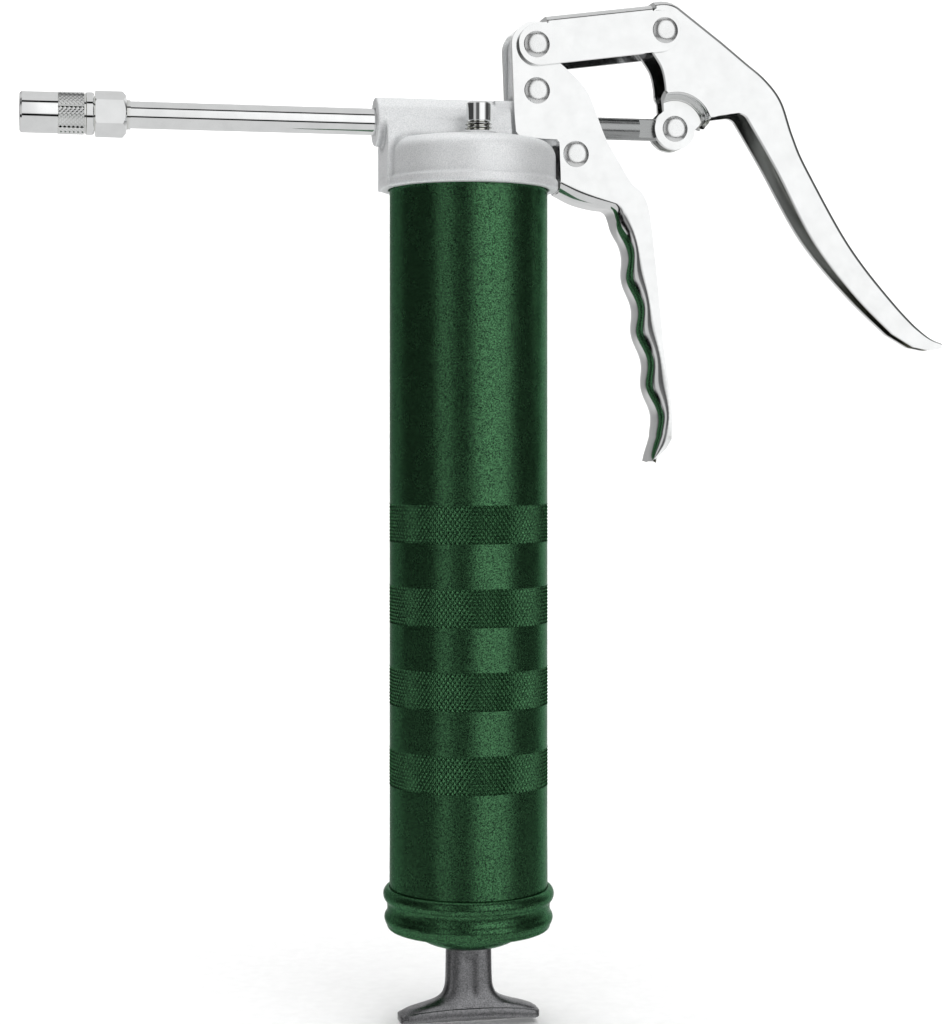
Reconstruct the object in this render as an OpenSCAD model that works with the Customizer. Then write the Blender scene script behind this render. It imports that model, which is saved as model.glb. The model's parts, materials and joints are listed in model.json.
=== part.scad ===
// Pistol-grip grease gun, 400 g cartridge size, in millimetres.
// The origin is the mouth of the nipple socket at the coupler's free end.
// +X runs along the delivery pipe and the pump to the lever, +Z is up, and the barrel hangs along -Z.

/* [Barrel] */
// Outside diameter of the barrel tube
barrel_d = 56.5; // [55:0.5:58]
// Wall of the barrel tube
barrel_wall = 1.2; // [1:0.1:1.6]
// Depth of the barrel's closed end below the pump axis
barrel_depth = 286; // [270:1:300]
// Height of each knurled band
band_h = 13.2; // [8:0.2:16]
// Distance between neighbouring knurled bands
band_pitch = 28.9; // [24:0.1:32]
// Number of knurled bands
band_count = 4; // [2:1:4]

/* [Pump head] */
// Outside radius of the head's cap
cap_r = 31.2; // [30.6:0.1:32]
// Outside radius of the pump cylinder
pump_r = 8.7; // [8:0.1:9]
// Radius of the pump plunger
plunger_r = 4; // [3.5:0.1:4]
// Distance from the socket mouth to the barrel axis
reach = 157.4; // [150:0.2:170]

/* [Delivery pipe and coupler] */
// Outside radius of the extension pipe
pipe_r = 4.7; // [4.5:0.05:4.8]
// Radius of the socket that grips a grease nipple
socket_r = 3.35; // [3.3:0.01:3.4]
// Hexagon of the coupler body, across flats
hex_af = 14; // [13.8:0.1:15]

/* [Grip and lever] */
// Thickness of the stamped sheet
sheet = 2; // [1.8:0.1:2]
// Outside width of the grip frame and of the lever
channel_w = 17; // [16.8:0.1:17]
// Depth of the finger waves in the grip
wave_h = 0.95; // [0.5:0.05:1.2]
// Number of points in a round stretch of an outline
arc_steps = 12; // [8:1:16]

/* [Hidden] */
$fn = 64;

running = 0.05;                       // radial clearance of a pin that turns in its hole
gap = 0.3;                            // clearance between pieces of different bodies
far = 200;                            // reaches past every outline

barrel_r = barrel_d / 2;
bore_r = barrel_r - barrel_wall;
cap_top = -6.2;                       // top of the head's cap
cap_rim = -23.8;                      // lower rim of the head's cap
cap_wall = 3;
neck_half = 10.5;                    // half width of the neck at the cap
barrel_top = -10.4;
first_band = -135.5;                  // upper edge of the highest knurled band
head_face = -34.1;                    // end face of the pump cylinder, from the barrel axis
socket_end = head_face + 8;           // the pipe's inner end
outlet_seat = -19.5;                  // the ball seat, at the end of the outlet chamber
chamber_r = 2.9;
seat_r = 1.8;
outlet_ball_r = 2.3;

pivot_f = [22.6, 27.8];               // link to frame
pivot_a = [70.05, 34.5];              // link to lever
pivot_b = [75.5, 0];                  // lever to plunger
rivet_points = [[23.2, 11.7], [37.5, -10.6]];
pin_r = 2.5;
rivet_head_r = 4.7;
rivet_head_h = 2.1;
link_len = norm(pivot_a - pivot_f);
link_tilt = atan2(pivot_a[1] - pivot_f[1], pivot_a[0] - pivot_f[0]);
link_r = 7.4;                         // half height of the link's plates
link_web = 9.7;                       // height of the link's web above its pivots
web_start = 4.7;                      // the web stands clear of the frame's and the lever's round ends
web_stop = 43.6;
link_sheet = 1.9;
link_gap = 0.2;                       // side clearance between link and lever
link_w = channel_w + 2 * (link_gap + link_sheet);
lug_w = channel_w - 2 * sheet - 0.1;  // the head's lug between the frame's plates
lobe_r = 7.6;                         // rounded end of the ears that hold the plunger pin
ear_r = 10.4;                         // the ears are pressed in within this radius of the pin
eye_w = 4.8;                          // width of the plunger's flattened eye
lobe_w = eye_w + 2 * (sheet + gap);
eye_play = 0.95;                      // the eye's height spare for the pin, each way

spring_r = 5.2;                       // the torsion spring round the lever's pivot
spring_h = 8.6;
spring_leg = 16;
leg_tilt = -26;

sleeve_len = 25.3;
sleeve_r = 7.4;
sleeve_bore = 6.1;
hex_x = 25.6;
hex_len = 10.7;
collar_r = 5.1;
jaw_len = 9.2;
jaw_bore_len = 6;
pocket_r = 3.7;                       // the seal's seat behind the jaws' grip
slot_w = 0.8;
nose_x = 14;                          // front face of the coupler body's nose
ball_seat_x = 19.6;
check_r = 1.7;

cup_top = -34;
cup_bottom = -46;
cup_plate = 1.5;
dome_bottom = -293.5;
cap_floor = -barrel_depth - 1;
rod_r = 3;
handle_top = dome_bottom - 1;
handle_bottom = -320.6;

// Points on a circle, from angle a0 to a1
function arc(c, r, a0, a1, n = arc_steps) =
    [for (i = [0:n]) let (a = a0 + (a1 - a0) * i / n) c + r * [cos(a), sin(a)]];

// A smooth curve through a few points
function knot(p, i) = p[max(0, min(len(p) - 1, i))];
function blend(a, b, c, d, t) =
    0.5 * ((2 * b) + (c - a) * t + (2 * a - 5 * b + 4 * c - d) * t * t
    + (3 * b - a - 3 * c + d) * t * t * t);
function smooth(p, n = 6) = [
    for (i = [0:len(p) - 2])
        for (j = [0:n - 1])
            blend(knot(p, i - 1), p[i], p[i + 1], knot(p, i + 2), j / n),
    p[len(p) - 1]
];

// The same path moved sideways by d, to its right
function side_step(p, i, d) =
    let (t = knot(p, i + 1) - knot(p, i - 1)) d * [t[1], -t[0]] / norm(t);
function inset(p, d) = [for (i = [0:len(p) - 1]) p[i] + side_step(p, i, d)];

module at_barrel() translate([reach, 0, 0]) children();

// An outline in X and Z, given a width along Y about the middle plane
module across(w) translate([0, w / 2, 0]) rotate([90, 0, 0]) linear_extrude(w) children();

module pin_y(p, r, w) translate([p[0], w / 2, p[1]]) rotate([90, 0, 0]) cylinder(r = r, h = w);

module rod_x(x0, x1, r) translate([x0, 0, 0]) rotate([0, 90, 0]) cylinder(r = r, h = x1 - x0);

module ring_z(r0, r1, z0, z1) difference() {
    translate([0, 0, z0]) cylinder(r = r1, h = z1 - z0);
    translate([0, 0, z0 - 1]) cylinder(r = r0, h = z1 - z0 + 2);
}

module ring_x(r0, r1, x0, x1) difference() {
    rod_x(x0, x1, r1);
    rod_x(x0 - 1, x1 + 1, r0);
}

// A domed rivet head standing on the face y = 0, pointing along -Y
module rivet_head(r = rivet_head_r, h = rivet_head_h)
    rotate([90, 0, 0]) rotate_extrude() polygon(concat(
        [[0, 0], [r, 0], [r, 0.25 * h]],
        [for (a = [15:15:90]) [r * cos(a), 0.25 * h + 0.75 * h * sin(a)]]
    ));

// A pin with a domed head at each end; w is the distance between the heads
module rivet(p, w) union() {
    pin_y(p, pin_r, w + 0.2);
    for (s = [0, 1]) mirror([0, s, 0]) translate([p[0], -w / 2, p[1]]) rivet_head();
}

// A round wire along a path that winds about the local Z axis
function unit(v) = v / norm(v);
module wire(path, r, sides = 6) {
    n = len(path) - 1;
    points = [for (i = [0:n]) for (k = [0:sides - 1])
        let (t = unit(path[min(i + 1, n)] - path[max(i - 1, 0)]), u = unit(cross(t, [0, 0, 1])))
        path[i] + r * (cos(360 * k / sides) * u + sin(360 * k / sides) * cross(u, t))];
    walls = [for (i = [0:n - 1]) for (k = [0:sides - 1]) for (half = [0, 1])
        let (m = (k + 1) % sides, a = i * sides, b = a + sides)
        half == 0 ? [a + k, b + k, b + m] : [a + k, b + m, a + m]];
    ends = [[for (k = [0:sides - 1]) k], [for (k = [sides - 1:-1:0]) n * sides + k]];
    polyhedron(points, concat(walls, ends), convexity = 10);
}

// The centre line of a coil; h is the height between its ends, a0 and a1 its start and end angles
function coil_path(r, h, a0, a1, seg) = let (n = ceil(abs(a1 - a0) * seg / 360))
    [for (i = [0:n]) let (a = a0 + (a1 - a0) * i / n) [r * cos(a), r * sin(a), h * i / n]];

module coil(r, wire_r, h, turns, seg, sides) translate([0, 0, wire_r])
    wire(coil_path(r, h, 0, 360 * turns, seg), wire_r, sides);

module coil_x(x0, x1, r, wire, turns) translate([x0, 0, 0]) rotate([0, 90, 0])
    coil(r, wire, x1 - x0 - 2 * wire, turns, 12, 6);

// ---- Pump head ----

// The lug between the frame's plates, which carries the three upper rivets
function lug_points() = concat(
    [[8, cap_top - 1.5], [31.6, cap_top - 1.5], [32.6, -18.2]],
    [[38, -19.6]], arc([40.5, -14], 3.4, -60, 20, 5),
    [[45, -4.6], [42.2, 3.2], [38.4, 12.5], [31.6, 18.5]],
    arc(pivot_f, 7, 0, 180), [[15.6, 8], [8, 8]]
);

// The neck under the pump cylinder widens down to the cap's rim
neck_points = [[-pump_r, 0], [pump_r, 0], [neck_half, cap_top], [neck_half, cap_rim],
    [-neck_half, cap_rim], [-neck_half, cap_top]];

module head_cap() rotate_extrude($fn = 120) polygon(concat(
    [[0, cap_top - cap_wall], [barrel_r + 0.35, cap_top - cap_wall], [barrel_r + 0.35, cap_rim]],
    [[cap_r + 0.4, cap_rim], [cap_r + 0.8, cap_rim + 0.6], [cap_r + 0.8, cap_rim + 3.3]],
    [[cap_r, cap_rim + 3.9]], arc([cap_r - 6, cap_top - 6], 6, 0, 90), [[0, cap_top]]
));

module pump_head() color("silver") at_barrel() difference() {
    union() {
        head_cap();
        rod_x(head_face, 14, pump_r);
        difference() {
            translate([-cap_r, 0, 0]) rotate([90, 0, 90]) linear_extrude(cap_r + 14) polygon(neck_points);
            translate([0, 0, cap_rim - 1]) cylinder(r = barrel_r + 0.35, h = cap_top - cap_wall - cap_rim + 1);
        }
        across(lug_w) polygon(lug_points());
        translate([0, -17.5, cap_top - cap_wall]) cylinder(r = 6.6, h = cap_wall + 1.2);
    }
    rod_x(head_face - 1, socket_end, pipe_r + 0.02);
    rod_x(socket_end - 0.5, outlet_seat, chamber_r);
    rod_x(outlet_seat - 0.5, -15, seat_r);
    rod_x(-15.5, 50, plunger_r + running);
    rod_x(34, 50, 6);
    translate([4, 0, cap_top - cap_wall - 1]) cylinder(r = 3, h = 9);
    translate([0, -17.5, cap_top - cap_wall - 1]) cylinder(r = 4.8 + running, h = 12);
    for (p = concat([pivot_f], rivet_points)) pin_y(p, pin_r + running, 2 * channel_w);
}

module head_gasket() color("dimgray") at_barrel()
    ring_z(bore_r - 1, barrel_r + 0.2, barrel_top + 0.02, cap_top - cap_wall);

module plunger_packing() color("dimgray") at_barrel() ring_x(plunger_r + running, 5.98, 34, 37.4);

module packing_nut() color("gray") at_barrel() difference() {
    union() {
        rod_x(37.4, 42, 5.98);
        translate([41.6, 0, 0]) rotate([0, 90, 0]) rotate([0, 0, 30]) cylinder(r = 5.9, h = 3.4, $fn = 6);
    }
    rod_x(36, 50, plunger_r + running);
}

// The ball touches the edge of its seat
module outlet_ball() color("silver") at_barrel()
    translate([outlet_seat - sqrt(pow(outlet_ball_r, 2) - pow(seat_r, 2)) - 0.02, 0, 0])
        sphere(r = outlet_ball_r, $fn = 32);

module outlet_spring() color("gray") at_barrel() coil_x(socket_end + 0.05, outlet_seat - 3.9, 2.2, 0.3, 3);

module bleeder_valve() color("gainsboro") at_barrel() translate([0, -17.5, 0]) difference() {
    union() {
        translate([0, 0, -1.6]) cylinder(r = 4.4, h = 6.4);
        translate([0, 0, 4.8]) rotate_extrude() polygon([[0, 0], [4.4, 0], [3.8, 0.6], [0, 0.6]]);
        translate([0, 0, cap_top - cap_wall]) cylinder(r = 3.9, h = 8);
        for (z = [cap_top - cap_wall + 1:1.2:-2.4]) translate([0, 0, z]) cylinder(r = 4.8, h = 0.75);
    }
    translate([0, 0, cap_top - cap_wall - 1]) cylinder(r = 1.5, h = 8);
}

// ---- Delivery pipe and coupler ----

module extension_pipe() color("gainsboro") difference() {
    rod_x(hex_x + 3, reach + socket_end, pipe_r);
    rod_x(0, reach, 2);
}

module coupler_body() color("gainsboro") difference() {
    union() {
        translate([hex_x, 0, 0]) rotate([0, 90, 0]) intersection() {
            cylinder(r = hex_af / sqrt(3), h = hex_len, $fn = 6);
            rotate_extrude() polygon([[0, 0], [hex_af / 2 + 0.7, 0], [hex_af / 2 + 1.2, 0.5],
                [hex_af / 2 + 1.2, hex_len - 1.4], [hex_af / 2 - 0.4, hex_len], [0, hex_len]]);
        }
        rod_x(hex_x + hex_len - 0.5, hex_x + hex_len + 1.4, collar_r);
        rod_x(nose_x, hex_x + 0.5, sleeve_bore - running);
    }
    rod_x(hex_x + 3, hex_x + 20, pipe_r + 0.02);
    rod_x(ball_seat_x - 0.5, hex_x + 4, 1.2);
    rod_x(nose_x - 1, ball_seat_x, 1.6);
    rod_x(nose_x + 0.6, ball_seat_x, check_r + 0.4);
}

module coupler_sleeve() color("gainsboro") rotate([0, 90, 0]) difference() {
    rotate_extrude() polygon([[0, 0.05], [6.5, 0.05], [7.15, 0.7], [7.15, 12.9], [sleeve_r, 13.1],
        [sleeve_r, 21.8], [7.2, 22], [7.2, 22.4], [sleeve_r, 22.6], [sleeve_r, sleeve_len - 0.5],
        [sleeve_r - 0.5, sleeve_len], [0, sleeve_len]]);
    translate([0, 0, 9]) cylinder(r = sleeve_bore, h = 20);
    translate([0, 0, -1]) rotate_extrude() polygon([[0, 0], [4.9, 0], [4.9, 2], [sleeve_bore, 9],
        [sleeve_bore, 11], [0, 11]]);
}

// Four jaws, with a wider pocket behind the grip for the seal
module coupler_jaws() color("gray") rotate([0, 90, 0]) difference() {
    rotate_extrude() polygon([[0, 0], [4.4, 0], [4.7, 0.4], [4.72, 1], [5.6, 6.6],
        [5.75, jaw_len], [0, jaw_len]]);
    translate([0, 0, -1]) cylinder(r = socket_r, h = jaw_len + 2);
    translate([0, 0, jaw_bore_len]) cylinder(r = pocket_r, h = jaw_len);
    for (a = [0, 90]) rotate([0, 0, a]) translate([-10, -slot_w / 2, -1]) cube([20, slot_w, jaw_len + 2]);
}

module jaw_washer() color("gray") ring_x(1.6, 5.7, jaw_len, jaw_len + 0.9);

module coupler_seal() color("dimgray") ring_x(1.2, pocket_r - 0.05, jaw_bore_len + 0.3, jaw_len);

module jaw_spring() color("gray") coil_x(jaw_len + 1, nose_x - 0.05, 4.6, 0.4, 3.5);

module coupler_ball() color("silver")
    translate([ball_seat_x - sqrt(pow(check_r, 2) - 1.44) - 0.02, 0, 0]) sphere(r = check_r, $fn = 32);

module ball_spring() color("gray") coil_x(nose_x + 0.65, ball_seat_x - 2.95, 1.7, 0.2, 2);

// ---- Grip frame ----

// Face of the grip's finger side at height z
function finger_x(z) = 54.1 - 0.19 * (z + 36) - wave_h * cos(360 * (z + 36) / 19.4);

// The web: along the underside from the head, then down the finger side to the tip
function grip_web() = concat(
    smooth([[31.8, -24.4], [38, -27.6], [44, -29.2], [49, -29.6]], 4),
    arc([49, -33], 3.4, 80, 10, 5),
    [for (z = [-34:-1.6:-112]) [finger_x(z), z]],
    [[66.4, -116], [65.9, -120.6]]
);
function grip_edge() = concat(
    [[68, -119.4], [71.4, -116]],
    smooth([[73.3, -112.5], [72.9, -99], [70.3, -81], [68.8, -66], [66.8, -46.6], [64.8, -31],
        [62.2, -24.2], [58.2, -20.6], [53.2, -12.7], [48.6, -4.9], [45.4, 3], [42.4, 10.6],
        [38.4, 15.8], [31.8, 21.6]], 4)
);
function frame_points() = concat(
    [[31.4, -6.6], [31.8, -20]], grip_web(), grip_edge(),
    arc(pivot_f, 8.6, 0, 178), [[15, 3], [15.5, -3]], arc([17.4, -2.7], 1.9, 190, 260, 4),
    [[24.6, -5.4], [30.4, -5.5]]
);
function frame_inside() = concat(
    [[-far, -20]], inset(grip_web(), -sheet), [[far, -far], [far, far], [-far, far]]
);

module grip_frame() color("gainsboro") at_barrel() difference() {
    across(channel_w) polygon(frame_points());
    across(channel_w - 2 * sheet) polygon(frame_inside());
    for (p = concat([pivot_f], rivet_points)) pin_y(p, pin_r + 0.02, 2 * channel_w);
}

module frame_rivets() color("gainsboro") at_barrel() for (p = rivet_points) rivet(p, channel_w + 0.02);

module link_pivot_pin() color("gainsboro") at_barrel() rivet(pivot_f, link_w + 2 * running);

// ---- Pump link, in its own axes: +X from its frame pivot to its lever pivot ----

module at_link() at_barrel() translate([pivot_f[0], 0, pivot_f[1]]) rotate([0, -link_tilt, 0]) children();

function link_points() = concat(
    arc([0.9, 0], link_r, -90, -270), [[5.4, link_web], [44.3, link_web]],
    arc([link_len - 1.7, 0], link_r, 75, -90)
);

module pump_link() color("gainsboro") at_link() difference() {
    across(link_w) polygon(link_points());
    across(link_w - 2 * link_sheet) polygon([[-far, -far], [-far, far], [web_start, far],
        [web_start, link_web - link_sheet], [web_stop, link_web - link_sheet], [web_stop, far],
        [far, far], [far, -far]]);
    pin_y([0, 0], pin_r + running, 2 * link_w);
    pin_y([link_len, 0], pin_r + 0.02, 2 * link_w);
}

module lever_pivot_pin() color("gainsboro") at_barrel() rivet(pivot_a, link_w + 0.02);

module pivot_bush() color("gray") at_barrel() translate([pivot_a[0], 0, pivot_a[1]]) rotate([90, 0, 0])
    ring_z(pin_r + 0.02, 4, -channel_w / 2 + sheet + gap, channel_w / 2 - sheet - gap);

// A torsion spring round the bush: one leg lies under the link's web, the other under the lever's
function away(a, tilt, s) = spring_r * [cos(a), sin(a)] + s * spring_leg * [cos(tilt), sin(tilt)];
module return_spring() color("gray") at_barrel() translate([pivot_a[0], spring_h / 2, pivot_a[1]])
    rotate([90, 0, 0]) wire(concat(
        [concat(away(90 + link_tilt, link_tilt, -1), 0)],
        coil_path(spring_r, spring_h, 90 + link_tilt, 90 + leg_tilt - 4 * 360, 16),
        [concat(away(90 + leg_tilt, leg_tilt, 1), spring_h)]
    ), 0.7);

// ---- Lever ----

// The web, from its round end above the pivot to the tip
function lever_web() = concat(
    arc(pivot_a, 11.2, 108, 56, 8),
    smooth([[92.6, 31.8], [101.4, 24.9], [109.3, 18.6], [115.4, 10.8], [119.8, -1.6],
        [125.4, -13.8], [141.6, -40.2], [159.5, -61.2], [172.6, -73.6], [179.2, -77]], 5)
);
function lever_edge() = concat(
    [[178.2, -78.9], [174.6, -79.6], [168, -78.4]],
    smooth([[159.6, -73.6], [144.2, -59.2], [127.4, -39.3], [113.3, -14.5], [105, -0.8]], 5),
    arc([98.6, 1.9], 4, 30, 95, 5), [[92, 5], [88.2, 3.9], [84.4, 1.2]]
);
function lever_points() = concat(
    lever_web(), lever_edge(), arc(pivot_b, lobe_r, 0, -236, 24),
    smooth([[71.1, 9.2], [71, 15], [69.6, 21.4], [66.2, 26.8]], 3), arc(pivot_a, 8, 215, 130, 6)
);
function lever_inside() = concat(
    [[-far, 43.2], [66.6, 43.2]], inset([for (i = [0:len(lever_web()) - 5]) lever_web()[i]], sheet),
    [[166, -78], [far, -far], [-far, -far]]
);

// The ears round the plunger pin are pressed inwards, and a short wall joins each to its side plate
module lever_ears() difference() {
    intersection() {
        across(channel_w) polygon(lever_points());
        pin_y(pivot_b, ear_r + sheet + gap, channel_w);
    }
    across(lobe_w - 2 * sheet) square(2 * far, center = true);
    for (s = [-1, 1]) translate([0, s * (lobe_w + channel_w) / 2, 0])
        pin_y(pivot_b, ear_r, channel_w);
}

module lever() color("gainsboro") at_barrel() difference() {
    union() {
        difference() {
            across(channel_w) polygon(lever_points());
            across(channel_w - 2 * sheet) polygon(lever_inside());
            pin_y(pivot_b, ear_r + sheet, 2 * channel_w);
        }
        lever_ears();
    }
    pin_y(pivot_a, pin_r + running, 2 * channel_w);
    pin_y(pivot_b, pin_r + 0.02, 2 * channel_w);
}

module plunger_pin() color("gainsboro") at_barrel() rivet(pivot_b, lobe_w + 0.02);

// The eye is tall enough for the pin's small rise and fall as the lever swings
module plunger() color("gray") at_barrel() difference() {
    union() {
        rod_x(8, pivot_b[0] - 4, plunger_r);
        pin_y(pivot_b, 6, eye_w);
    }
    for (s = [-1, 1]) translate([0, s * (eye_w / 2 + 5), 0])
        translate([pivot_b[0] - 6, 0, 0]) cube([14, 10, 20], center = true);
    across(2 * channel_w) translate(pivot_b) union() {
        square([2 * (pin_r + 0.35), 2 * eye_play], center = true);
        for (s = [-1, 1]) translate([0, s * eye_play]) circle(r = pin_r + 0.35);
    }
}

// ---- Barrel ----

module barrel() color("darkgreen") at_barrel() difference() {
    union() {
        translate([0, 0, -barrel_depth + 1]) cylinder(r = barrel_r, h = barrel_top + barrel_depth - 1, $fn = 120);
        for (i = [0:band_count - 1]) translate([0, 0, first_band - i * band_pitch - band_h])
            cylinder(r = barrel_r + 0.12, h = band_h, $fn = 120);
    }
    translate([0, 0, -barrel_depth]) cylinder(r = bore_r, h = barrel_depth, $fn = 120);
}

// Two rolled beads, a groove between them, and a shallow dome round the rod
module barrel_cap() color("darkgreen") at_barrel() rotate_extrude($fn = 120) polygon(concat(
    [[rod_r + 2.5, dome_bottom], [rod_r + 2.5, dome_bottom + 1.2], [18, -289.6], [20.2, cap_floor + 1]],
    [[barrel_r + 0.02, cap_floor + 1], [barrel_r + 0.02, -272.6], [29, -272]],
    arc([28.8, -274.4], 1.7, 70, -50, 6), [[29.1, -277.6], [29.1, -280.2]],
    arc([28.45, -282.6], 1.6, 50, -40, 5), [[29.4, -285.2]], arc([28.2, cap_floor + 1.2], 1.2, 0, -90, 4),
    [[20.4, cap_floor]], arc([12, cap_floor + 1.5], 8, -15, -70, 6), [[9, dome_bottom]]
));

module rod_guide() color("gray") at_barrel() union() {
    ring_z(rod_r + running, rod_r + 2.48, dome_bottom, dome_bottom + 5);
    ring_z(rod_r + running, rod_r + 5, dome_bottom + 3.4, dome_bottom + 5);
}

module follower_spring() color("gray") at_barrel() translate([0, 0, cap_floor + 1.05])
    coil(20.5, 1.1, cup_bottom - cup_plate - cap_floor - 3.4, 12, 14, 5);

// ---- Follower and rod ----

module follower_cup() color("dimgray") at_barrel() rotate_extrude($fn = 96) polygon([
    [rod_r + 1, cup_bottom], [24.6, cup_bottom], [26.7, cup_bottom - 3], [26.9, cup_bottom],
    [26.1, cup_bottom + 3], [26.1, cup_top - 3], [26.9, cup_top], [26.7, cup_top + 3], [24.6, cup_top],
    [rod_r + 1, cup_top]
]);

module follower_plates() color("gray") at_barrel() for (z = [cup_top, cup_bottom - cup_plate])
    ring_z(rod_r + running, 24, z, z + cup_plate);

module follower_rod() color("gray") at_barrel() translate([0, 0, handle_top - 8])
    cylinder(r = rod_r, h = cup_top + cup_plate + gap + 4 - handle_top + 8);

module rod_nut() color("gray") at_barrel() difference() {
    translate([0, 0, cup_top + cup_plate + gap]) cylinder(r = 5.8, h = 4.5, $fn = 6);
    translate([0, 0, cup_top]) cylinder(r = rod_r + 0.01, h = 20);
}

// The handle's outlines are worked out on one side and mirrored to the other
function both_sides(p) = concat(p, [for (i = [len(p) - 1:-1:0]) if (p[i][0] > 0) [-p[i][0], p[i][1]]]);
function handle_front() = concat(
    [[7.2, handle_top], [7.7, handle_top - 0.6]],
    smooth([[7.9, handle_top - 4], [8.4, -305], [9.6, -309.6], [13, -312.6], [19, -314.6], [24.4, -316]], 4),
    arc([23.3, -318.4], 2.1, 50, -80, 5), [[18, -320.9], [9, handle_bottom]]
);
function handle_side() = concat(
    [[4.2, handle_top], [4.5, -304], [5, -312], [5.3, -316], [4.6, -320], [2.6, -322]]
);

module t_handle() color("dimgray") at_barrel() difference() {
    intersection() {
        across(20) polygon(both_sides(handle_front()));
        rotate([0, 0, 90]) across(60) polygon(both_sides(handle_side()));
    }
    translate([0, 0, handle_top - 8]) cylinder(r = rod_r + 0.01, h = 9);
}

pump_head();
head_gasket();
plunger_packing();
packing_nut();
outlet_ball();
outlet_spring();
bleeder_valve();
extension_pipe();
coupler_body();
coupler_sleeve();
coupler_jaws();
jaw_washer();
coupler_seal();
jaw_spring();
coupler_ball();
ball_spring();
grip_frame();
frame_rivets();
link_pivot_pin();
pump_link();
lever_pivot_pin();
pivot_bush();
return_spring();
lever();
plunger_pin();
plunger();
barrel();
barrel_cap();
rod_guide();
follower_spring();
follower_cup();
follower_plates();
follower_rod();
rod_nut();
t_handle();
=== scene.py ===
"""Looks of the pistol-grip grease gun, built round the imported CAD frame. Metres, Z up."""

import json
import math

import bmesh
import bpy
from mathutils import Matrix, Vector
from mathutils.geometry import delaunay_2d_cdt


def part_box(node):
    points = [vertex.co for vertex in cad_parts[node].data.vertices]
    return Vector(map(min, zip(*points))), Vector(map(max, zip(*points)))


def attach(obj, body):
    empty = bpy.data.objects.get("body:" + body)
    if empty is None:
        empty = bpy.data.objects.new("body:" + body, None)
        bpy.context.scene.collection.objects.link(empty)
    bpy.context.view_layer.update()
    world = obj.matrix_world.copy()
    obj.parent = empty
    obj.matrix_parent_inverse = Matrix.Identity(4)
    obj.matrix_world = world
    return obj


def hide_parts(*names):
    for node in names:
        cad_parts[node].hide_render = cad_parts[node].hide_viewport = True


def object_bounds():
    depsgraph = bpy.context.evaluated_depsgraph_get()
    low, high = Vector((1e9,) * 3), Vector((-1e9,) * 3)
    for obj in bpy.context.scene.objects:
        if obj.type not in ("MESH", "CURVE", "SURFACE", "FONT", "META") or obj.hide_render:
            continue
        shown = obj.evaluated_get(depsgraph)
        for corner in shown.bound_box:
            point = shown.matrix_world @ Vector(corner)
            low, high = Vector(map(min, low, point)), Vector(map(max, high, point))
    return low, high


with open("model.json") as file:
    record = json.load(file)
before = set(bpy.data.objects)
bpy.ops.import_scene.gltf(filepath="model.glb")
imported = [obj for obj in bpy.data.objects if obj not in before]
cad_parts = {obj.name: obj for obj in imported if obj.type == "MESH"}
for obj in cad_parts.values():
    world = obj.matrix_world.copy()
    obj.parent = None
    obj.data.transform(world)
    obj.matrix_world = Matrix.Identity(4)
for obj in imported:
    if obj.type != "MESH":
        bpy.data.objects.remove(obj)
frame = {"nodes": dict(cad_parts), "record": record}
CAD_BOX = [[round(float(v), 6) for v in corner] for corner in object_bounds()]

MM = 0.001
NODES = frame["nodes"]
JOINTS = {joint["name"]: joint for joint in frame["record"]["behaviour"]["joints"]}


# ---- Places read from the frame ----

def middle(node):
    """Centre of a CAD node's box."""
    low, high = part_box(node)
    return [(low[i] + high[i]) / 2 for i in range(3)]


def half_size(node, axis):
    """Half the size of a CAD node's box along an axis."""
    low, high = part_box(node)
    return (high[axis] - low[axis]) / 2


AXIS_X = middle("barrel")[0]
PIVOT_F = (JOINTS["link_swing"]["pos_m"][0], JOINTS["link_swing"]["pos_m"][2])
PIVOT_A = (JOINTS["lever_squeeze"]["pos_m"][0], JOINTS["lever_squeeze"]["pos_m"][2])
PIVOT_B = (middle("plunger_pin")[0], middle("plunger_pin")[2])
SHEET = 2 * MM
CHANNEL_HALF = half_size("grip_frame", 1)
LINK_HALF = half_size("pump_link", 1)


def place(x, z):
    """A side-view point, given in millimetres from the barrel's axis and the pump's axis."""
    return (AXIS_X + x * MM, z * MM)


def places(*points):
    """Several side-view points at once."""
    return [place(x, z) for x, z in points]


# ---- Curves in the side view ----

def arc(centre, radius, a0, a1, steps=16):
    """Points on a circle, from angle a0 to a1 in degrees."""
    angles = [math.radians(a0 + (a1 - a0) * i / steps) for i in range(steps + 1)]
    return [(centre[0] + radius * math.cos(a), centre[1] + radius * math.sin(a)) for a in angles]


def smooth(points, steps=8):
    """A Catmull-Rom curve through the points."""
    out = []
    for i in range(len(points) - 1):
        a, b = points[max(i - 1, 0)], points[i]
        c, d = points[i + 1], points[min(i + 2, len(points) - 1)]
        for k in range(steps):
            t = k / steps
            out.append(tuple(
                0.5 * (2 * b[n] + (c[n] - a[n]) * t
                       + (2 * a[n] - 5 * b[n] + 4 * c[n] - d[n]) * t * t
                       + (3 * b[n] - a[n] - 3 * c[n] + d[n]) * t ** 3)
                for n in range(len(b))))
    return out + [tuple(points[-1])]


def resample(path, count):
    """count + 1 points, evenly spaced along the path."""
    lengths = [0.0]
    for a, b in zip(path, path[1:]):
        lengths.append(lengths[-1] + math.dist(a, b))
    out, k = [], 0
    for i in range(count + 1):
        want = lengths[-1] * i / count
        while k < len(path) - 2 and lengths[k + 1] < want:
            k += 1
        span = lengths[k + 1] - lengths[k] or 1
        t = (want - lengths[k]) / span
        out.append(tuple(p + (q - p) * t for p, q in zip(path[k], path[k + 1])))
    return out


def ease(value, low, high):
    """0 below low, 1 above high, and a smooth step between."""
    t = min(max((value - low) / (high - low), 0), 1)
    return t * t * (3 - 2 * t)


# ---- Meshes ----

WELD = 1e-6
SPECK = 1e-7


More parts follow.
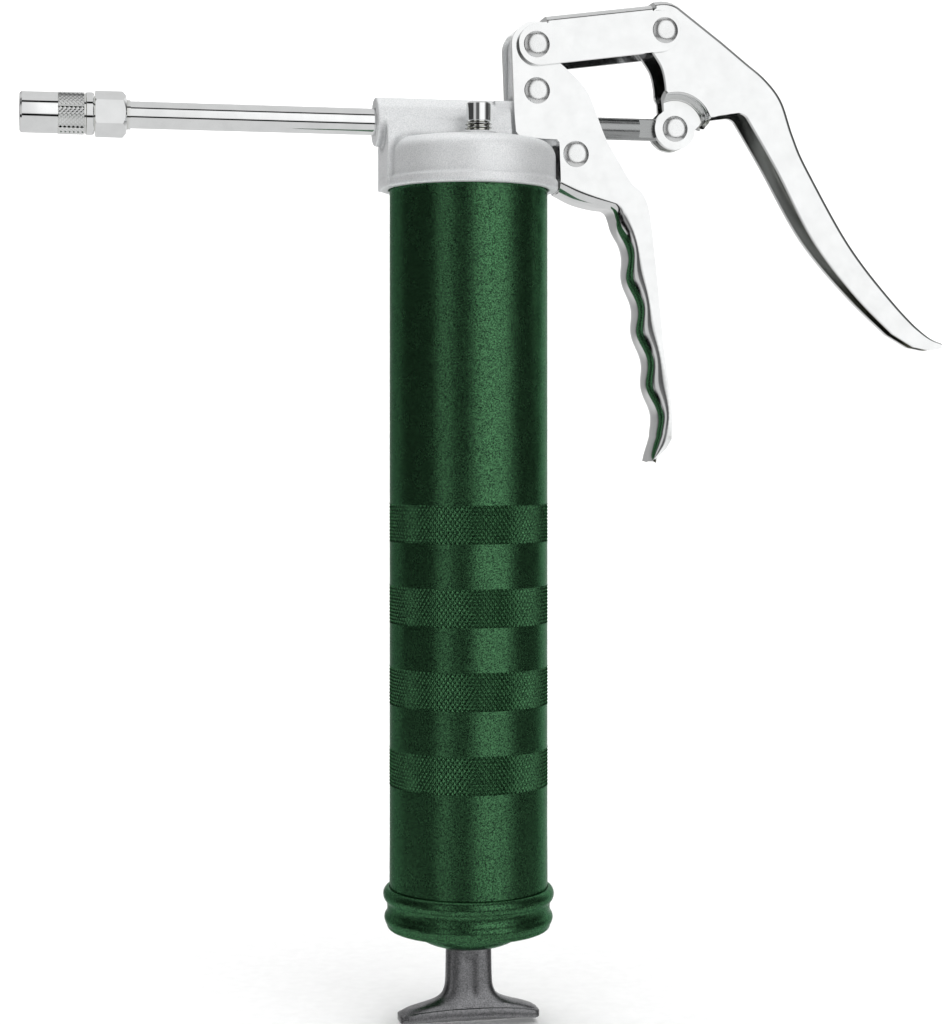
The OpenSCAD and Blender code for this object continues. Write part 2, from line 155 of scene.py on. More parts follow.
def make_object(name, verts, faces, body, material, stands_for=(), smooth_angle=35):
    """A visible piece: its mesh, material, the body it rides on and the nodes it replaces."""
    mesh = bpy.data.meshes.new(name)
    mesh.from_pydata([tuple(v) for v in verts], [], faces)
    work = bmesh.new()
    work.from_mesh(mesh)
    bmesh.ops.remove_doubles(work, verts=work.verts, dist=WELD)
    bmesh.ops.dissolve_degenerate(work, edges=work.edges, dist=SPECK)
    bmesh.ops.recalc_face_normals(work, faces=work.faces)
    work.to_mesh(mesh)
    work.free()
    mesh.shade_smooth()
    mesh.set_sharp_from_angle(angle=math.radians(smooth_angle))
    piece = bpy.data.objects.new(name, mesh)
    bpy.context.scene.collection.objects.link(piece)
    piece.data.materials.append(material)
    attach(piece, body)
    if stands_for:
        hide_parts(*stands_for)
    return piece


def soften(piece, width, angle, segments=2):
    """A small bevel along the sharp edges, so that they catch the light."""
    bevel = piece.modifiers.new("edge", "BEVEL")
    bevel.width = width
    bevel.segments = segments
    bevel.limit_method = "ANGLE"
    bevel.angle_limit = math.radians(angle)


def rows_of(profile, columns, centre, axis, ripple=None):
    """Rings of a turned shape. profile holds (along, radius) pairs; axis is "x", "y" or "z"."""
    rows = []
    for j, (along, radius) in enumerate(profile):
        row = []
        for i in range(columns):
            angle = 2 * math.pi * i / columns
            r = radius + (ripple(i, j) if ripple else 0)
            c, s = r * math.cos(angle), r * math.sin(angle)
            offset = {"x": (along, c, s), "y": (c, along, s), "z": (c, s, along)}[axis]
            row.append([centre[n] + offset[n] for n in range(3)])
        rows.append(row)
    return rows


def skin(rows, split=None):
    """Faces between neighbouring closed rings. split(i, j) gives the way a quad is cut in two."""
    faces = []
    n = len(rows[0])
    for j in range(len(rows) - 1):
        for i in range(n):
            k = (i + 1) % n
            a, b = j * n + i, j * n + k
            c, d = (j + 1) * n + k, (j + 1) * n + i
            way = split(i, j) if split else None
            if way is None:
                faces.append((a, b, c, d))
            elif way:
                faces += [(a, b, c), (a, c, d)]
            else:
                faces += [(a, b, d), (b, c, d)]
    return faces


def capped(faces, rings, columns):
    """Adds a face over the first ring and one over the last."""
    last = (rings - 1) * columns
    return faces + [tuple(range(columns)), tuple(range(last + columns - 1, last - 1, -1))]


def turned(name, profile, columns, centre, axis, body, material, stands_for=(), closed=False,
           ripple=None, split=None, smooth_angle=35):
    """A turned piece. A closed profile joins its last ring to its first; an open one is capped."""
    rows = rows_of(profile, columns, centre, axis, ripple)
    if closed:
        rows.append([list(v) for v in rows[0]])
    faces = skin(rows, split)
    verts = [v for row in rows for v in row]
    if not closed:
        faces = capped(faces, len(rows), columns)
    return make_object(name, verts, faces, body, material, stands_for, smooth_angle)


# ---- Pressed sheet-metal channels ----

def between(a, b, t):
    """The point at fraction t of the way from a to b."""
    return (a[0] + (b[0] - a[0]) * t, a[1] + (b[1] - a[1]) * t)


def offset(path, distances):
    """The path moved sideways to its right, point by point."""
    out = []
    for i, distance in enumerate(distances):
        a, b = path[max(i - 1, 0)], path[min(i + 1, len(path) - 1)]
        length = math.dist(a, b)
        out.append((path[i][0] + distance * (b[1] - a[1]) / length,
                    path[i][1] - distance * (b[0] - a[0]) / length))
    return out


def stations(*segments):
    """Joins (path, count) segments into one evenly stepped path."""
    out = []
    for path, count in segments:
        points = resample(path, count)
        out += points[1:] if out else points
    return out


def table_value(stops, s):
    """Straight-line reading of (place, value) stops."""
    for (a, va), (b, vb) in zip(stops, stops[1:]):
        if s <= b:
            return va + (vb - va) * (s - a) / (b - a)
    return stops[-1][1]


def flat_side(outline, extra):
    """Triangles that fill an outline, with extra points inside it, worked out in millimetres."""
    points = [Vector((x / MM, z / MM)) for x, z in outline + extra]
    loop = list(range(len(outline)))
    result = delaunay_2d_cdt(points, [], [loop], 1, 1e-4)
    return [(v[0] * MM, v[1] * MM) for v in result[0]], [tuple(face) for face in result[2]]


def face_outwards(mesh):
    """Turns the shell's normals away from its hollow side."""
    front = max(mesh.polygons,
                key=lambda face: face.area * (face.center[1] < 0) * abs(face.normal[1]))
    if front.normal[1] > 0:
        mesh.flip_normals()


BEND_STEPS = 9
WEB_STEPS = 4


def strip_faces(base, length, width):
    """Quads of a strip whose rows of width + 1 vertices start at base."""
    corners = [base + i * (width + 1) + k for i in range(length) for k in range(width)]
    return [(a, a + 1, a + width + 2, a + width + 1) for a in corners]


def bend_verts(web, crease, bend_y, half, side):
    """The rounded bend between the web and one side plate."""
    verts = []
    for i in range(len(web)):
        for k in range(BEND_STEPS + 1):
            angle = math.pi / 2 * k / BEND_STEPS
            point = between(web[i], crease[i], 1 - math.cos(angle))
            y = half(point) - bend_y(i / (len(web) - 1)) * (1 - math.sin(angle))
            verts.append((point[0], side * y, point[1]))
    return verts


def web_verts(web, bend_y, half):
    """The flat web between the two bends."""
    verts = []
    for i, (x, z) in enumerate(web):
        y = half(web[i]) - bend_y(i / (len(web) - 1))
        verts += [(x, y * (2 * m / WEB_STEPS - 1), z) for m in range(WEB_STEPS + 1)]
    return verts


def pressed(name, web, crease, rest, bend_y, half, body, stands_for, sheet=SHEET, extra=()):
    """A channel pressed from sheet. The bend runs from the web path to the crease path, and the
    rest of each side's outline leads from the crease's end back to its start. half(point) gives
    the outer half width there, and bend_y(fraction) the bend's reach in from the sides.
    """
    verts, faces = [], []
    plate, triangles = flat_side(crease + rest, list(extra))
    for side in (-1, 1):
        faces += strip_faces(len(verts), len(web) - 1, BEND_STEPS)
        verts += bend_verts(web, crease, bend_y, half, side)
        faces += [tuple(len(verts) + n for n in face) for face in triangles]
        verts += [(x, side * half((x, z)), z) for x, z in plate]
    faces += strip_faces(len(verts), len(web) - 1, WEB_STEPS)
    verts += web_verts(web, bend_y, half)
    piece = make_object(name, verts, faces, body, CHROME_SHEET, stands_for, 60)
    face_outwards(piece.data)
    thick = piece.modifiers.new("sheet", "SOLIDIFY")
    thick.thickness = sheet
    thick.offset = -1
    thick.use_even_offset = True
    soften(piece, 0.25 * MM, 55)
    piece.modifiers.new("normals", "WEIGHTED_NORMAL").keep_sharp = True
    return piece


# ---- Materials ----

MIX_FACTOR, MIX_DARK, MIX_LIGHT, MIX_RESULT = 0, 6, 7, 2


def new_material(name, color, metallic, roughness):
    material = bpy.data.materials.new(name)
    material.use_nodes = True
    shader = material.node_tree.nodes["Principled BSDF"]
    shader.inputs["Base Color"].default_value = (*color, 1)
    shader.inputs["Metallic"].default_value = metallic
    shader.inputs["Roughness"].default_value = roughness
    return material, material.node_tree, shader


def link(tree, source, target):
    tree.links.new(source, target)


def coordinates(tree, stretch=(1, 1, 1)):
    """The piece's own coordinates in metres, stretched along its axes."""
    place_node = tree.nodes.new("ShaderNodeTexCoord")
    mapping = tree.nodes.new("ShaderNodeMapping")
    mapping.inputs["Scale"].default_value = stretch
    link(tree, place_node.outputs["Object"], mapping.inputs["Vector"])
    return mapping.outputs["Vector"]


def noise(tree, size, detail, stretch=(1, 1, 1), roughness=0.5):
    """Noise with grains about that size, in metres."""
    node = tree.nodes.new("ShaderNodeTexNoise")
    node.inputs["Scale"].default_value = 1 / size
    node.inputs["Detail"].default_value = detail
    node.inputs["Roughness"].default_value = roughness
    link(tree, coordinates(tree, stretch), node.inputs["Vector"])
    return node.outputs["Fac"]


def ranged(tree, value, low, high, source=(0.3, 0.7)):
    """Spreads the source range of a value over low to high."""
    node = tree.nodes.new("ShaderNodeMapRange")
    node.inputs["From Min"].default_value = source[0]
    node.inputs["From Max"].default_value = source[1]
    node.inputs["To Min"].default_value = low
    node.inputs["To Max"].default_value = high
    link(tree, value, node.inputs["Value"])
    return node.outputs["Result"]


def color_mix(tree, factor, dark):
    """A colour mix node, with its dark end set and its factor linked."""
    node = tree.nodes.new("ShaderNodeMix")
    node.data_type = "RGBA"
    node.inputs[MIX_DARK].default_value = (*dark, 1)
    link(tree, factor, node.inputs[MIX_FACTOR])
    return node


def tinted(tree, value, dark, light, source=(0.3, 0.7)):
    """A colour that runs from dark to light with the value."""
    node = color_mix(tree, ranged(tree, value, 0, 1, source), dark)
    node.inputs[MIX_LIGHT].default_value = (*light, 1)
    return node.outputs[MIX_RESULT]


def bump(tree, shader, value, height, strength, below=None):
    """Bump of that height in metres on the shader, added to the one below it."""
    node = tree.nodes.new("ShaderNodeBump")
    node.inputs["Strength"].default_value = strength
    node.inputs["Distance"].default_value = height
    link(tree, value, node.inputs["Height"])
    if below:
        link(tree, below, node.inputs["Normal"])
    link(tree, node.outputs["Normal"], shader.inputs["Normal"])
    return node.outputs["Normal"]


def painted_fold_shade(tree, open_color, dark, reach, source=(0.3, 0.85)):
    """Painted shade: darkens a colour inside folds, channels and creases, by how much ambient
    occlusion finds there.
    """
    fold_occlusion = tree.nodes.new("ShaderNodeAmbientOcclusion")
    fold_occlusion.only_local = True
    fold_occlusion.samples = 8
    fold_occlusion.inputs["Distance"].default_value = reach
    node = color_mix(tree, ranged(tree, fold_occlusion.outputs["AO"], 0, 1, source), dark)
    link(tree, open_color, node.inputs[MIX_LIGHT])
    return node.outputs[MIX_RESULT]


def chrome_material(name, grain, color=(0.86, 0.87, 0.87), stretch=(1, 1, 1), polish=(0.06, 0.15)):
    """Bright plate: a faint waviness from forming, fine polishing marks, and painted shade that
    darkens it to olive grey inside its folds and channels.
    """
    material, tree, shader = new_material(name, color, 1, 0.1)
    marks = noise(tree, grain, 4, stretch)
    link(tree, ranged(tree, marks, *polish), shader.inputs["Roughness"])
    tone = tinted(tree, noise(tree, 6 * MM, 4), [0.93 * c for c in color], color)
    # Painted shade: the plate's colour darkens to olive grey inside its channels and folds.
    link(tree, painted_fold_shade(tree, tone, (0.55, 0.55, 0.5), 8 * MM), shader.inputs["Base Color"])
    waves = bump(tree, shader, noise(tree, 9 * MM, 1), 0.05 * MM, 0.25)
    bump(tree, shader, marks, 0.006 * MM, 0.2, waves)
    return material


def cast_aluminium():
    """Shot-blasted casting: pale, satin, with a fine grain, a faint unevenness, and painted shade
    that darkens it in its concave creases.
    """
    material, tree, shader = new_material("cast_aluminium", (0.83, 0.84, 0.85), 0.45, 0.42)
    grain = noise(tree, 0.4 * MM, 5, roughness=0.7)
    tone = tinted(tree, grain, (0.62, 0.64, 0.65), (0.98, 0.985, 0.99))
    # Painted shade: the casting's colour darkens to dark grey in its creases and tight hollows.
    shaded = painted_fold_shade(tree, tone, (0.2, 0.21, 0.22), 3 * MM, (0.6, 0.98))
    link(tree, shaded, shader.inputs["Base Color"])
    link(tree, ranged(tree, noise(tree, 2.5 * MM, 4), 0.38, 0.52), shader.inputs["Roughness"])
    skin_waves = bump(tree, shader, noise(tree, 5 * MM, 2), 0.1 * MM, 0.25)
    bump(tree, shader, grain, 0.05 * MM, 0.5, skin_waves)
    return material


def green_paint():
    """Metallic green lacquer: dark flakes between bright ones, on a fine orange peel, and
    painted shade that turns it nearly black in the grooves of the knurl.
    """
    material, tree, shader = new_material("green_paint", (0.04, 0.13, 0.06), 0.93, 0.25)
    shader.inputs["Specular Tint"].default_value = (0.5, 0.65, 0.55, 1)
    grain = noise(tree, 0.45 * MM, 2, roughness=0.8)
    patches = noise(tree, 6 * MM, 3)
    tone = tinted(tree, grain, (0.01, 0.026, 0.015), (0.084, 0.235, 0.105), (0.38, 0.62))
    # Painted shade: the paint darkens nearly to black in the knurl's grooves and other tight
    # hollows.
    shaded = painted_fold_shade(tree, tone, (0.003, 0.008, 0.005), 0.9 * MM, (0.4, 0.8))
    link(tree, shaded, shader.inputs["Base Color"])
    link(tree, ranged(tree, patches, 0.22, 0.3), shader.inputs["Roughness"])
    peel = bump(tree, shader, noise(tree, 1.8 * MM, 2), 0.05 * MM, 0.25)
    bump(tree, shader, grain, 0.05 * MM, 0.5, peel)
    return material


def pewter():
    """Dark zinc casting, a little polished by handling."""
    material, tree, shader = new_material("pewter_cast", (0.22, 0.22, 0.23), 1, 0.34)
    grain = noise(tree, 0.5 * MM, 5, roughness=0.7)
    tone = tinted(tree, grain, (0.1, 0.102, 0.108), (0.36, 0.36, 0.37))
    link(tree, tone, shader.inputs["Base Color"])
    link(tree, ranged(tree, noise(tree, 3 * MM, 3), 0.27, 0.42), shader.inputs["Roughness"])
    bump(tree, shader, grain, 0.07 * MM, 0.55)
    return material


def steel(name, color, roughness, stretch=(0.05, 1, 1)):
    """Ground steel with fine marks, drawn out along one axis."""
    material, tree, shader = new_material(name, color, 1, roughness)
    marks = noise(tree, 0.3 * MM, 3, stretch)
    link(tree, ranged(tree, marks, 0.8 * roughness, 1.3 * roughness), shader.inputs["Roughness"])
    link(tree, tinted(tree, marks, [0.8 * c for c in color], color), shader.inputs["Base Color"])
    bump(tree, shader, marks, 0.01 * MM, 0.3)
    return material


def rubber():
    """Moulded black rubber, matt and faintly mottled."""
    material, tree, shader = new_material("black_rubber", (0.025, 0.025, 0.026), 0, 0.6)
    grain = noise(tree, 0.6 * MM, 3)
    tone = tinted(tree, grain, (0.018, 0.018, 0.019), (0.035, 0.035, 0.036))
    link(tree, tone, shader.inputs["Base Color"])
    link(tree, ranged(tree, grain, 0.5, 0.7), shader.inputs["Roughness"])
    bump(tree, shader, grain, 0.03 * MM, 0.4)
    return material


def floor_material():
    """Pale matt board, for the floor and the wall behind."""
    material, tree, shader = new_material("pale_floor", (0.9, 0.9, 0.9), 0, 0.8)
    grain = noise(tree, 4 * MM, 3)
    tone = tinted(tree, grain, (0.88, 0.88, 0.88), (0.92, 0.92, 0.92))
    link(tree, tone, shader.inputs["Base Color"])
    bump(tree, shader, grain, 0.05 * MM, 0.1)
    return material


BRIGHT = (0.9, 0.91, 0.91)
CHROME_SHEET = chrome_material("chrome_sheet", 0.5 * MM)
CHROME_RIVETS = chrome_material("chrome_rivets", 0.5 * MM, BRIGHT, polish=(0.24, 0.32))
CHROME_TURNED = chrome_material("chrome_turned", 0.4 * MM, BRIGHT, (1, 0.3, 0.3), (0.03, 0.08))
SLOTS = {
    "cast_aluminium": cast_aluminium(),
    "chrome_sheet": CHROME_SHEET,
    "chrome_turned": CHROME_TURNED,
    "green_paint": green_paint(),
    "plunger_steel": steel("plunger_steel", (0.4, 0.41, 0.41), 0.24),
    "spring_steel": steel("spring_steel", (0.32, 0.32, 0.33), 0.35, (1, 1, 1)),
    "zinc_steel": steel("zinc_steel", (0.6, 0.6, 0.57), 0.4, (1, 1, 1)),
    "pewter_cast": pewter(),
    "black_rubber": rubber(),
}


def dress_cad_nodes():
    """Every CAD node gets the full material of its slot."""
    for part in frame["record"]["subparts"]:
        node = NODES[part["node"]]
        for spot in node.material_slots:
            spot.material = SLOTS[part["material_slot"]]


# ---- Pressed parts ----

FIRST_WAVE = -36
WAVE_LENGTH = 19.4
WAVE_DEPTH = 0.95


def finger_x(z):
    """Face of the grip's finger side at height z, both in millimetres."""
    down = z - FIRST_WAVE
    return 54.1 - 0.19 * down - WAVE_DEPTH * math.cos(2 * math.pi * down / WAVE_LENGTH)


def grip_half(point):
    """Half width of the grip frame, which narrows a little at the tip."""
    return CHANNEL_HALF - 1.6 * MM * ease(-point[1], 104 * MM, 121 * MM)


def grip_frame():
    """The web runs along the underside, round the corner and down the waved finger side."""
    waves = [place(finger_x(z), z) for z in [-34 - 0.8 * i for i in range(98)]]
    web = stations(
        (smooth(places((31.8, -24.4), (38, -27.4), (44, -29), (48.8, -29.65))), 20),
        ([place(48.8, -29.65)] + arc(place(49, -33), 3.4 * MM, 84, 12), 12),
        (waves, 150),
        (smooth([waves[-1]] + places((66.6, -115.4), (65.9, -118.2), (65.75, -120.6))), 14))
    crease = stations(
        (smooth(places((31.9, -19.8), (38, -22.2), (44, -24.4), (52.5, -27.4))), 20),
        (smooth(places((52.5, -27.4), (53.8, -28), (54.9, -29.2))), 12),
        (smooth(places((54.9, -29.2), (56.9, -31.8), (59.7, -39.1), (61.6, -46.6), (63.8, -56.3),
                       (66, -67.4), (67.5, -74.3), (69.4, -83.3), (70.9, -89.4), (71.9, -97),
                       (72.3, -104), (72, -110))), 150),
        (smooth(places((72, -110), (71.3, -113.6), (69.2, -117), (66.5, -120))), 14))
    edge = smooth(places((73.3, -112.5), (72.9, -99), (70.3, -81), (68.8, -66), (66.8, -46.6),
                         (64.8, -31), (62.2, -24.2), (58.2, -20.6), (53.2, -12.7), (48.6, -4.9),
                         (45.4, 3), (42.4, 10.6), (38.4, 15.8), (31.8, 21.6)))
    rest = places((68.4, -119), (71.5, -115.9)) + edge + arc(PIVOT_F, 8.6 * MM, 0, 178, 40)
    rest += places((15, 3), (15.5, -3)) + arc(place(17.4, -2.7), 1.9 * MM, 190, 260, 6)
    rest += places((24.6, -5.4), (30.4, -5.5), (31.4, -6.6), (31.7, -14))
    bends = [(0, 4.8), (0.1, 4.2), (0.13, 3.4), (0.16, 3.8), (0.24, 8), (0.86, 8), (0.95, 5.5),
             (1, 3.5)]
    pressed("grip_frame_plate", web, crease, rest, lambda s: table_value(bends, s) * MM,
            grip_half, "head", ["grip_frame"])


def pump_link():
    """Drawn along the line between its pivots, then turned into place."""
    tilt = math.atan2(PIVOT_A[1] - PIVOT_F[1], PIVOT_A[0] - PIVOT_F[0])
    length = math.dist(PIVOT_A, PIVOT_F)
    radius, web_high, bend = 7.4 * MM, 9.7 * MM, 2.8 * MM
    left, right = 5 * MM, 44.3 * MM

    def turn(path):
        return [(PIVOT_F[0] + x * math.cos(tilt) - y * math.sin(tilt),
                 PIVOT_F[1] + x * math.sin(tilt) + y * math.cos(tilt)) for x, y in path]
    web = turn(resample([(left, web_high), (right, web_high)], 40))
    crease = turn(resample([(left, web_high - bend), (right, web_high - bend)], 40))
    rest = arc((length - 1.7 * MM, 0), radius, 98, -90, 40)
    rest += arc((0.9 * MM, 0), radius, -90, -270, 40) + [(left - 0.4 * MM, 7.5 * MM)]
    pressed("pump_link_plate", web, crease, turn(rest), lambda s: bend, lambda p: LINK_HALF,
            "link", ["pump_link"], 1.9 * MM)


# The lever's ears are pressed in flat to the first radius round the plunger pin, and they reach the
# lever's full width at the second.
EAR_FLAT, EAR_WALL = 10.2 * MM, 12.9 * MM


def lever_half(point):
    """Half width of the lever: pressed in at its ears, and narrowing down the handle."""
    ear = 1 - ease(math.dist(point, PIVOT_B), EAR_FLAT, EAR_WALL)
    taper = ease(-point[1], 10 * MM, 84 * MM)
    return CHANNEL_HALF - 0.02 * MM - 3.8 * MM * ear - 4.2 * MM * taper


def lever():
    """The web runs from the round end over the pivot, down the back of the handle to the tip."""
    crown = arc(PIVOT_A, 11.2 * MM, 108, 56)
    web = stations(
        (crown, 18),
        ([crown[-1], place(92.6, 31.8)], 16),
        (smooth(places((92.6, 31.8), (101.4, 24.9), (109.3, 18.6), (115.4, 10.8), (119.8, -1.6),
                       (125.4, -13.8), (141.6, -40.2), (159.5, -61.2), (172.6, -73.6),
                       (179.2, -77))), 130))
    bends = [(0, 2.6), (0.3, 2.2), (0.8, 2.2), (0.93, 2), (1, 0.8)]
    count = len(web) - 1
    crease = offset(web, [table_value(bends, i / count) * MM for i in range(count + 1)])
    rest = places((178.9, -78.6), (178.2, -78.9), (174.6, -79.6), (168, -78.4))
    rest += smooth(places((159.6, -73.6), (144.2, -59.2), (127.4, -39.3), (113.3, -14.5),
                          (105, -0.8)))
    rest += arc(place(98.6, 1.9), 4 * MM, 30, 95) + places((92, 5), (88.2, 3.9), (84.4, 1.2))
    rest += arc(PIVOT_B, 7.6 * MM, 0, -236, 60)
    rest += smooth(places((71.1, 9.2), (71, 15), (69.6, 21.4), (66.2, 26.8)))
    rest += arc(PIVOT_A, 8 * MM, 215, 130)
    radii = [EAR_FLAT + (0.33 * n - 0.2) * MM for n in range(10)]
    rings = [point for radius in radii for point in arc(PIVOT_B, radius, 3, 357, 90)]
    pressed("lever_plate", web, crease, rest, lambda s: table_value(bends, s) * MM, lever_half,
            "lever", ["lever"], extra=rings)


# ---- Turned parts ----

RIVET_HEAD = 4.7 * MM
RIVET_RISE = 0.95 * MM
RIVET_SHANK = 2.5 * MM


def rivet(name, nodes, body, centre, half_width):
    """A pin with a low, flat-topped round head at each end."""
    rise = [(1, 0), (0.99, 0.12), (0.94, 0.28), (0.86, 0.5), (0.78, 0.7), (0.7, 0.86),
            (0.62, 0.95), (0.5, 0.99), (0.25, 1), (0.02, 1)]
    side = [(half_width, RIVET_SHANK)]
    side += [(half_width + RIVET_RISE * up, RIVET_HEAD * out) for out, up in rise]
    outline = [(-a, r) for a, r in reversed(side)] + side
    turned(name, outline, 48, (centre[0], 0, centre[1]), "y", body, CHROME_RIVETS, nodes)


def rivets():
    """The two frame rivets share one CAD node; each pivot pin has its own."""
    low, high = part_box("frame_rivets")
    upper = (low[0] + RIVET_HEAD, high[2] - RIVET_HEAD)
    lower = (high[0] - RIVET_HEAD, low[2] + RIVET_HEAD)
    ear_half = half_size("plunger_pin", 1) - 2.1 * MM
    rivet("frame_rivet_upper", ["frame_rivets"], "head", upper, CHANNEL_HALF)
    rivet("frame_rivet_lower", [], "head", lower, CHANNEL_HALF)
    rivet("link_pivot_rivet", ["link_pivot_pin"], "head", PIVOT_F, LINK_HALF + 0.05 * MM)
    rivet("lever_pivot_rivet", ["lever_pivot_pin"], "link", PIVOT_A, LINK_HALF)
    rivet("plunger_rivet", ["plunger_pin"], "lever", PIVOT_B, ear_half)


def knurling(starts, rows, depth):
    """Diamonds on the rings from each start: every other vertex is raised by the depth, and each
    quad is cut along the diagonal between its two low ones.
    """
    def ripple(i, j):
        raised = any(start <= j <= start + rows for start in starts) and (i + j) % 2
        return depth if raised else 0

    def split(i, j):
        if any(start <= j < start + rows for start in starts):
            return (i + j) % 2 == 0
        return None
    return {"ripple": ripple, "split": split}


BAND_COUNT = 4
BAND_TOP = -135.5 * MM
BAND_PITCH = 28.9 * MM
BAND_HEIGHT = 13.2 * MM
BAND_COLUMNS = 216
BAND_ROWS = 11
KNURL_DEPTH = 0.46 * MM
KNURL_PROUD = 0.12 * MM


def barrel():
    """The tube, with its diamond-knurled bands cut into the same skin."""
    low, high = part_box("barrel")
    radius = half_size("barrel", 0) - KNURL_PROUD
    bore = radius - 1.2 * MM
    chamfer = 0.3 * MM
    floor = radius + KNURL_PROUD - KNURL_DEPTH
    profile = [(high[2], bore), (high[2], radius - chamfer), (high[2] - chamfer, radius)]
    starts = []
    for band in range(BAND_COUNT):
        top = BAND_TOP - band * BAND_PITCH
        profile.append((top + KNURL_PROUD, radius))
        starts.append(len(profile))
        profile += [(top - BAND_HEIGHT * k / BAND_ROWS, floor) for k in range(BAND_ROWS + 1)]
        profile.append((top - BAND_HEIGHT - KNURL_PROUD, radius))
    profile += [(low[2], radius), (low[2], bore)]
    turned("barrel_tube", profile, BAND_COLUMNS, (AXIS_X, 0, 0), "z", "barrel",
           SLOTS["green_paint"], ["barrel"], closed=True, smooth_angle=22,
           **knurling(starts, BAND_ROWS, KNURL_DEPTH))


def barrel_cap():
    """The screwed end cap: two rolled beads, a lip and a shallow dome."""
    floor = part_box("barrel_cap")[0][2] + 6.5 * MM
    radius = half_size("barrel", 0)

    def at(x, z):
        return (z * MM, x * MM)
    outside = smooth([at(28.45, -272), at(29.4, -272.2), at(30.3, -273.4), at(30.5, -274.8),
                      at(30.1, -276.2), at(29.3, -277.4), at(29.05, -279), at(29.2, -280.6),
                      at(29.9, -281.8), at(30.1, -283), at(29.7, -284.4), at(29.25, -285.2)], 4)
    corner = smooth([at(29.25, -285.2), at(28.9, -286.3), at(27.6, -286.95), at(24, -287)], 4)
    dome = smooth([at(21.4, -287), at(20.2, -287.3), at(19.4, -288.3), at(16.6, -290.8),
                   at(12, -292.6), at(5.5, -293.5)], 4)
    inside = [at(5.5, -292.3), at(18, -289.4), at(20, -286), (floor + 1 * MM, radius - 0.1 * MM),
              at(28.37, -285), at(28.37, -272.3)]
    turned("barrel_end_cap", outside + corner + dome + inside, 160, (AXIS_X, 0, 0), "z",
           "barrel", SLOTS["green_paint"], ["barrel_cap"], closed=True)


def extension_pipe():
    """A plain plated pipe with a small chamfer at each end."""
    low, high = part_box("extension_pipe")
    radius = half_size("extension_pipe", 1)
    bore, chamfer = 2 * MM, 0.4 * MM
    profile = [(low[0], bore), (low[0], radius - chamfer), (low[0] + chamfer, radius),
               (high[0] - chamfer, radius), (high[0], radius - chamfer), (high[0], bore)]
    turned("delivery_pipe", profile, 72, (0, 0, 0), "x", "head", CHROME_TURNED,
           ["extension_pipe"], closed=True)


def coupler_sleeve():
    """A smooth nose, a diamond-knurled middle and a smooth rear ring."""
    columns, rows, depth = 64, 12, 0.38 * MM
    start, stop = 13.1 * MM, 21.8 * MM
    mouth, nose, body_r, bore = 4.9 * MM, 7.1 * MM, 7.4 * MM, 6.1 * MM
    groove, ring = body_r - 0.5 * MM, body_r - 0.05 * MM
    profile = [(1 * MM, mouth), (0.05 * MM, mouth), (0.05 * MM, 6.3 * MM), (0.3 * MM, 6.8 * MM),
               (0.9 * MM, nose), (12.8 * MM, nose), (start - 0.05 * MM, body_r - 0.35 * MM)]
    first = len(profile)
    profile += [(start + (stop - start) * k / rows, body_r - depth) for k in range(rows + 1)]
    profile += [(stop + 0.1 * MM, groove), (22.4 * MM, groove), (22.7 * MM, ring),
                (24.8 * MM, ring), (25.25 * MM, groove), (25.25 * MM, bore), (9 * MM, bore)]
    turned("coupler_knurled_sleeve", profile, columns, (0, 0, 0), "x", "sleeve", CHROME_TURNED,
           ["coupler_sleeve"], closed=True, smooth_angle=25, **knurling([first], rows, depth))


def bleeder():
    """A round-headed screw plug with a coarse thread."""
    centre = middle("bleeder_valve")
    low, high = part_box("bleeder_valve")
    top, thread_top, pitch = high[2], -1.9 * MM, 1.25 * MM
    head_r, thread_r, core_r = 4.4 * MM, 4.8 * MM, 3.9 * MM
    profile = [(top, 0.5 * MM), (top, head_r - 0.9 * MM)]
    profile += [(top - 0.25 * MM, head_r - 0.35 * MM), (top - 0.7 * MM, head_r)]
    profile += [(-1.2 * MM, head_r), (-1.6 * MM, head_r - 0.3 * MM)]
    z = thread_top
    while z > low[2] + 1.4 * MM:
        profile += [(z, core_r), (z - 0.42 * MM, thread_r), (z - 0.58 * MM, thread_r),
                    (z - 1.0 * MM, core_r)]
        z -= pitch
    profile += [(low[2], core_r - 0.4 * MM), (low[2], 1.5 * MM)]
    turned("bleeder_plug", profile, 64, (centre[0], centre[1], 0), "z", "bleeder",
           CHROME_TURNED, ["bleeder_valve"])


# Sections of the handle in millimetres: drop below its top, half width, half depth, squareness.
HANDLE_STEM = [(0, 8.2, 3.9, 2.6), (5, 8.25, 4, 2.8), (11, 8.4, 4.05, 3), (14, 8.9, 4.1, 3),
               (16, 10.1, 4.15, 3), (17.3, 12.6, 4.2, 3), (18.2, 16.5, 4.3, 3.2),
               (18.8, 20.2, 4.45, 3.6), (19.5, 23.2, 4.65, 4), (20.3, 24.6, 4.75, 5)]
HANDLE_BAR = [(20.45, 25, 5.2, 6), (20.8, 25.3, 5.3, 7), (21.8, 25.3, 5.3, 7),
              (22.9, 25.3, 5.3, 7), (23.4, 25, 5.1, 6), (23.8, 24.5, 4.8, 5), (23.9, 23.9, 4.3, 4)]
HANDLE_COLUMNS = 120
GROOVE_HALF = 2.2
GROOVE_DEPTH = 0.16
BAR_DROOP = 0.0028


def handle_section(drop, wide, deep, power, top):
    """A ring of the handle: a rounded rectangle, grooved on the stem and drooping in the bar."""
    ring = []
    in_bar = ease(drop, 14, 19)
    for i in range(HANDLE_COLUMNS):
        angle = 2 * math.pi * (i + 0.5) / HANDLE_COLUMNS
        c, s = math.cos(angle), math.sin(angle)
        x = wide * math.copysign(abs(c) ** (2 / power), c)
        y = deep * math.copysign(abs(s) ** (2 / power), s)
        groove = math.exp(-(x / GROOVE_HALF) ** 2) * (1 - in_bar) * ease(drop, 0.5, 3)
        y *= 1 - GROOVE_DEPTH * groove
        droop = BAR_DROOP * x * x * in_bar
        ring.append((AXIS_X + x * MM, y * MM, top - (drop + droop) * MM))
    return ring


